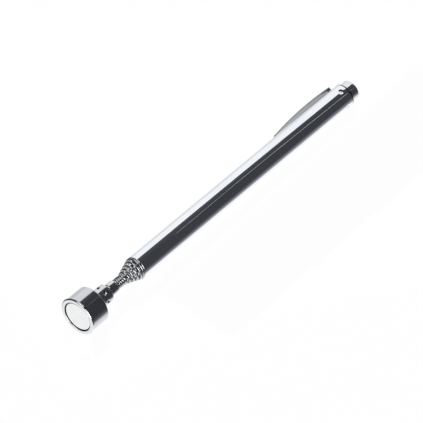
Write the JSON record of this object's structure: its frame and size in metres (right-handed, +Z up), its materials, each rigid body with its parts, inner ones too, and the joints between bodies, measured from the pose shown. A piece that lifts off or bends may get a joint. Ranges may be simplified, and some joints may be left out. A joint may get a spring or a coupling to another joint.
{
  "type": "telescopic magnetic pick-up tool",
  "caption": "Pen-sized telescopic pick-up tool with a swivelling pot magnet on a sprung neck and a pocket clip.",
  "frame": {"origin": "centre of the magnet's working plane, the front plane of the rim", "axes": "+X along the tool from the magnet to the tail, +Y towards the pocket clip, +Z up while it lies on a bench"},
  "size_m": [0.1801, 0.018, 0.018],
  "materials": {
    "rim_chrome": "polished chrome plate",
    "shell_chrome": "polished chrome plate, finely turned",
    "barrel_chrome": "mirror chrome plate, drawn lengthwise",
    "section_chrome": "mirror chrome plate",
    "neck_chrome": "polished chrome plate",
    "plug_chrome": "chrome plate, turned",
    "clip_chrome": "chrome plate on spring strip",
    "spring_wire": "plated spring wire",
    "magnet_plating": "satin nickel plate",
    "plain_steel": "bright turned steel",
    "potting": "dark resin",
    "packing": "fibre board, plain",
    "bush_brass": "plain turned brass",
    "spring_bronze": "rolled phosphor bronze strip"
  },
  "bodies": {
    "barrel": {"barrel_tube": "barrel_chrome", "tail_plug": "plug_chrome"},
    "clip": {"pocket_clip": "clip_chrome"},
    "section_1": {"section_1_tube": "section_chrome", "section_1_stop_bush": "bush_brass", "section_1_friction_spring": "spring_bronze"},
    "section_2": {"section_2_tube": "section_chrome", "section_2_stop_bush": "bush_brass", "section_2_friction_spring": "spring_bronze"},
    "section_3": {"section_3_tube": "section_chrome", "section_3_stop_bush": "bush_brass", "section_3_friction_spring": "spring_bronze"},
    "section_4": {"section_4_tube": "section_chrome", "section_4_stop_bush": "bush_brass", "section_4_friction_spring": "spring_bronze", "neck_ferrule": "neck_chrome", "neck_spring": "spring_wire"},
    "stud": {"ball_stud": "plain_steel"},
    "head": {"swivel_sleeve": "neck_chrome", "head_shell": "shell_chrome", "flux_cup": "rim_chrome", "magnet_disc": "magnet_plating", "potting_ring": "potting", "packing_disc": "packing", "rivet_washer": "plain_steel"}
  },
  "joints": [
    {"name": "clip_flex", "type": "hinge", "parent": "barrel", "child": "clip", "pos_m": [0.1731, 0.0053, 0], "axis": [0, 0, -1], "range_deg": [0, 4], "stiffness_Nm_per_rad": 0.5, "springref_deg": -2.29},
    {"name": "section_1_slide", "type": "slide", "parent": "barrel", "child": "section_1", "axis": [-1, 0, 0], "range_m": [0, 0.112]},
    {"name": "section_2_slide", "type": "slide", "parent": "section_1", "child": "section_2", "axis": [-1, 0, 0], "range_m": [0, 0.112]},
    {"name": "section_3_slide", "type": "slide", "parent": "section_2", "child": "section_3", "axis": [-1, 0, 0], "range_m": [0, 0.112]},
    {"name": "section_4_slide", "type": "slide", "parent": "section_3", "child": "section_4", "axis": [-1, 0, 0], "range_m": [0, 0.112]},
    {"name": "stud_spin", "type": "hinge", "parent": "section_4", "child": "stud", "pos_m": [0.0202, 0, 0], "axis": [1, 0, 0], "continuous": true},
    {"name": "head_tilt", "type": "hinge", "parent": "stud", "child": "head", "pos_m": [0.01405, 0, 0], "axis": [0, 1, 0], "range_deg": [-14, 14]}
  ]
}
